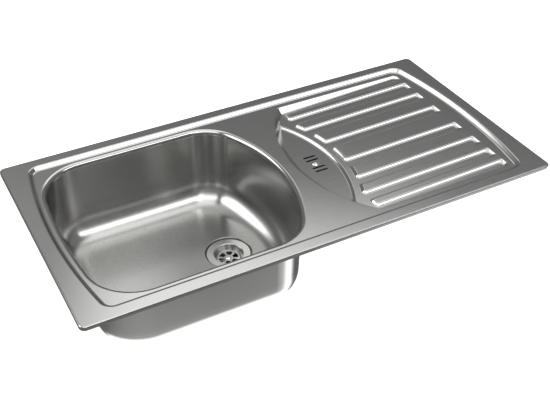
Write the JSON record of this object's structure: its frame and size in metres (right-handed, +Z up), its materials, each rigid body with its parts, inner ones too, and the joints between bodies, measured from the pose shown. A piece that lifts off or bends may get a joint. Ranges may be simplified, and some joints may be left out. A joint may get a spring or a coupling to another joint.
{
  "type": "kitchen sink with drainboard",
  "caption": "Inset stainless kitchen sink with a rounded bowl on the left, a ribbed sloping drainboard on the right, strainer waste, overflow and fixing claws under a turned-down rim.",
  "frame": {"origin": "middle of the worktop cut-out on the plane of the worktop's top, which the rim's turned-down edge and foam strip rest on", "axes": "+X from the bowl to the drainer along the length, +Y to the back, +Z up out of the worktop"},
  "size_m": [0.86, 0.44, 0.2488],
  "materials": {
    "deck_steel": "satin stainless, fine brushing along the length",
    "bowl_steel": "bright polished drawn stainless",
    "flange_steel": "polished pressed stainless",
    "screw_steel": "bright stainless",
    "zinc_steel": "zinc plated",
    "brass": "turned",
    "white_plastic": "moulded polypropylene",
    "black_plastic": "moulded polypropylene",
    "pipe_plastic": "extruded polypropylene",
    "seal_rubber": "moulded",
    "foam": "closed-cell foam",
    "damping": "bitumen sheet"
  },
  "bodies": {
    "sink": {"deck": "deck_steel", "bowl": "bowl_steel", "rim_seal": "foam", "bowl_damping_pad": "damping", "waste_flange": "flange_steel", "waste_flange_seal": "seal_rubber", "waste_body_seal": "seal_rubber", "waste_body": "white_plastic", "waste_outlet": "white_plastic", "waste_insert": "brass", "waste_screw": "screw_steel", "overflow_screw": "screw_steel", "overflow_seal": "seal_rubber", "overflow_body": "black_plastic", "overflow_insert": "brass", "overflow_pipe": "pipe_plastic", "pipe_cone_seal_upper": "seal_rubber", "pipe_cone_seal_lower": "seal_rubber", "pipe_union_nut_upper": "white_plastic", "pipe_union_nut_lower": "white_plastic", "fixing_studs": "screw_steel"},
    "nut_1": {"fixing_nut_1": "zinc_steel"},
    "claw_1": {"fixing_claw_1": "zinc_steel"},
    "nut_2": {"fixing_nut_2": "zinc_steel"},
    "claw_2": {"fixing_claw_2": "zinc_steel"},
    "nut_3": {"fixing_nut_3": "zinc_steel"},
    "claw_3": {"fixing_claw_3": "zinc_steel"},
    "nut_4": {"fixing_nut_4": "zinc_steel"},
    "claw_4": {"fixing_claw_4": "zinc_steel"},
    "nut_5": {"fixing_nut_5": "zinc_steel"},
    "claw_5": {"fixing_claw_5": "zinc_steel"},
    "nut_6": {"fixing_nut_6": "zinc_steel"},
    "claw_6": {"fixing_claw_6": "zinc_steel"},
    "nut_7": {"fixing_nut_7": "zinc_steel"},
    "claw_7": {"fixing_claw_7": "zinc_steel"},
    "nut_8": {"fixing_nut_8": "zinc_steel"},
    "claw_8": {"fixing_claw_8": "zinc_steel"}
  },
  "joints": [
    {"name": "nut_travel_1", "type": "slide", "parent": "sink", "child": "nut_1", "axis": [0, 0, 1], "range_m": [-0.0185, 0]},
    {"name": "claw_swing_1", "type": "hinge", "parent": "nut_1", "child": "claw_1", "pos_m": [-0.368, -0.181, -0.0078], "axis": [0, 0, 1], "range_deg": [0, 90]},
    {"name": "nut_travel_2", "type": "slide", "parent": "sink", "child": "nut_2", "axis": [0, 0, 1], "range_m": [-0.0185, 0]},
    {"name": "claw_swing_2", "type": "hinge", "parent": "nut_2", "child": "claw_2", "pos_m": [-0.015, -0.185, -0.0078], "axis": [0, 0, -1], "range_deg": [0, 90]},
    {"name": "nut_travel_3", "type": "slide", "parent": "sink", "child": "nut_3", "axis": [0, 0, 1], "range_m": [-0.0185, 0]},
    {"name": "claw_swing_3", "type": "hinge", "parent": "nut_3", "child": "claw_3", "pos_m": [0.1675, -0.185, -0.0078], "axis": [0, 0, -1], "range_deg": [0, 90]},
    {"name": "nut_travel_4", "type": "slide", "parent": "sink", "child": "nut_4", "axis": [0, 0, 1], "range_m": [-0.0185, 0]},
    {"name": "claw_swing_4", "type": "hinge", "parent": "nut_4", "child": "claw_4", "pos_m": [0.35, -0.185, -0.0078], "axis": [0, 0, -1], "range_deg": [0, 90]},
    {"name": "nut_travel_5", "type": "slide", "parent": "sink", "child": "nut_5", "axis": [0, 0, 1], "range_m": [-0.0185, 0]},
    {"name": "claw_swing_5", "type": "hinge", "parent": "nut_5", "child": "claw_5", "pos_m": [-0.368, 0.181, -0.0078], "axis": [0, 0, -1], "range_deg": [0, 90]},
    {"name": "nut_travel_6", "type": "slide", "parent": "sink", "child": "nut_6", "axis": [0, 0, 1], "range_m": [-0.0185, 0]},
    {"name": "claw_swing_6", "type": "hinge", "parent": "nut_6", "child": "claw_6", "pos_m": [-0.015, 0.185, -0.0078], "axis": [0, 0, 1], "range_deg": [0, 90]},
    {"name": "nut_travel_7", "type": "slide", "parent": "sink", "child": "nut_7", "axis": [0, 0, 1], "range_m": [-0.0185, 0]},
    {"name": "claw_swing_7", "type": "hinge", "parent": "nut_7", "child": "claw_7", "pos_m": [0.1675, 0.185, -0.0078], "axis": [0, 0, 1], "range_deg": [0, 90]},
    {"name": "nut_travel_8", "type": "slide", "parent": "sink", "child": "nut_8", "axis": [0, 0, 1], "range_m": [-0.0185, 0]},
    {"name": "claw_swing_8", "type": "hinge", "parent": "nut_8", "child": "claw_8", "pos_m": [0.35, 0.185, -0.0078], "axis": [0, 0, 1], "range_deg": [0, 90]}
  ]
}
